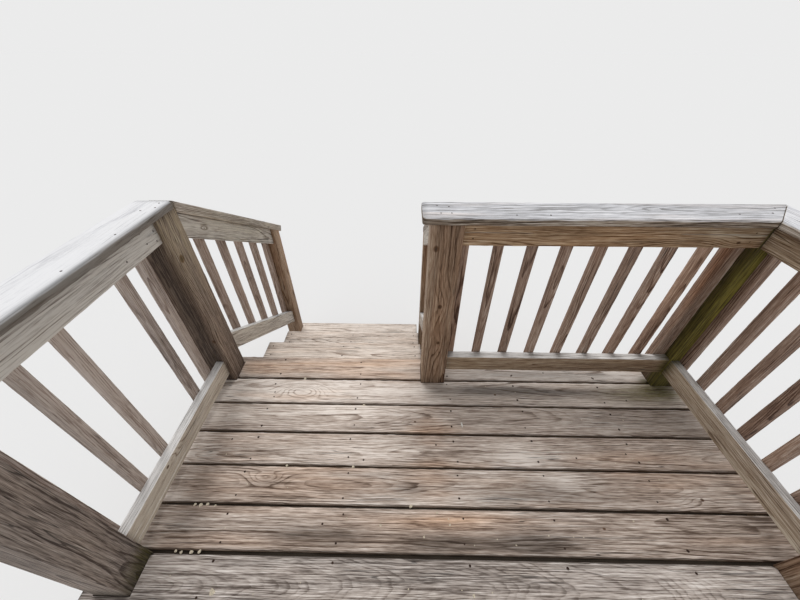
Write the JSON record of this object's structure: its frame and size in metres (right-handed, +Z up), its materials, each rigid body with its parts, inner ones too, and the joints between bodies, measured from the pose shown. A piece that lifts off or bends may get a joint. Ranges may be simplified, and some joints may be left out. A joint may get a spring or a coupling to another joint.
{
  "type": "wooden deck stairs",
  "caption": "Raised timber landing deck with baluster guards and flat caps on posts, and a straight open-riser flight of treads on sawtooth stringers.",
  "frame": {"origin": "bottom centre of the bounding box, on the ground under the structure", "axes": "+X along the deck boards, toward the side guard away from the flight; +Y from the house side out and down the flight; +Z up"},
  "size_m": [2.378, 1.854, 1.603],
  "materials": {
    "deck_boards": "weathered pressure-treated softwood, grey-brown, dull",
    "tread_boards": "weathered softwood, pale pinkish grey, dull",
    "frame_timber": "rough-sawn treated softwood, brown, dull",
    "posts": "weathered treated softwood, brown with green algae, dull",
    "caps": "bleached grey softwood, dull",
    "rails": "weathered treated softwood, grey-brown, dull",
    "balusters": "weathered treated softwood, grey-brown, dull"
  },
  "bodies": {
    "root": {"deck_board_1": "deck_boards", "deck_board_2": "deck_boards", "deck_board_3": "deck_boards", "deck_board_4": "deck_boards", "deck_board_5": "deck_boards", "deck_board_6": "deck_boards", "deck_board_7": "deck_boards", "tread_1": "tread_boards", "tread_2": "tread_boards", "tread_3": "tread_boards", "stringer_left": "frame_timber", "stringer_middle": "frame_timber", "stringer_right": "frame_timber", "stringer_hanger": "frame_timber", "front_rim": "frame_timber", "left_rim": "frame_timber", "right_rim": "frame_timber", "house_ledger": "frame_timber", "joists": "frame_timber", "left_house_post": "posts", "right_house_post": "posts", "left_stair_post": "posts", "right_stair_post": "posts", "corner_post": "posts", "left_foot_post": "posts", "right_foot_post": "posts", "left_cap": "caps", "front_cap": "caps", "right_cap": "caps", "left_top_rail": "rails", "left_bottom_rail": "rails", "front_top_rail": "rails", "front_bottom_rail": "rails", "right_top_rail": "rails", "right_bottom_rail": "rails", "left_stair_top_rail": "rails", "left_stair_bottom_rail": "rails", "right_stair_top_rail": "rails", "right_stair_bottom_rail": "rails", "left_balusters": "balusters", "front_balusters": "balusters", "right_balusters": "balusters", "left_stair_balusters": "balusters", "right_stair_balusters": "balusters", "stair_caps": "rails"}
  },
  "joints": []
}
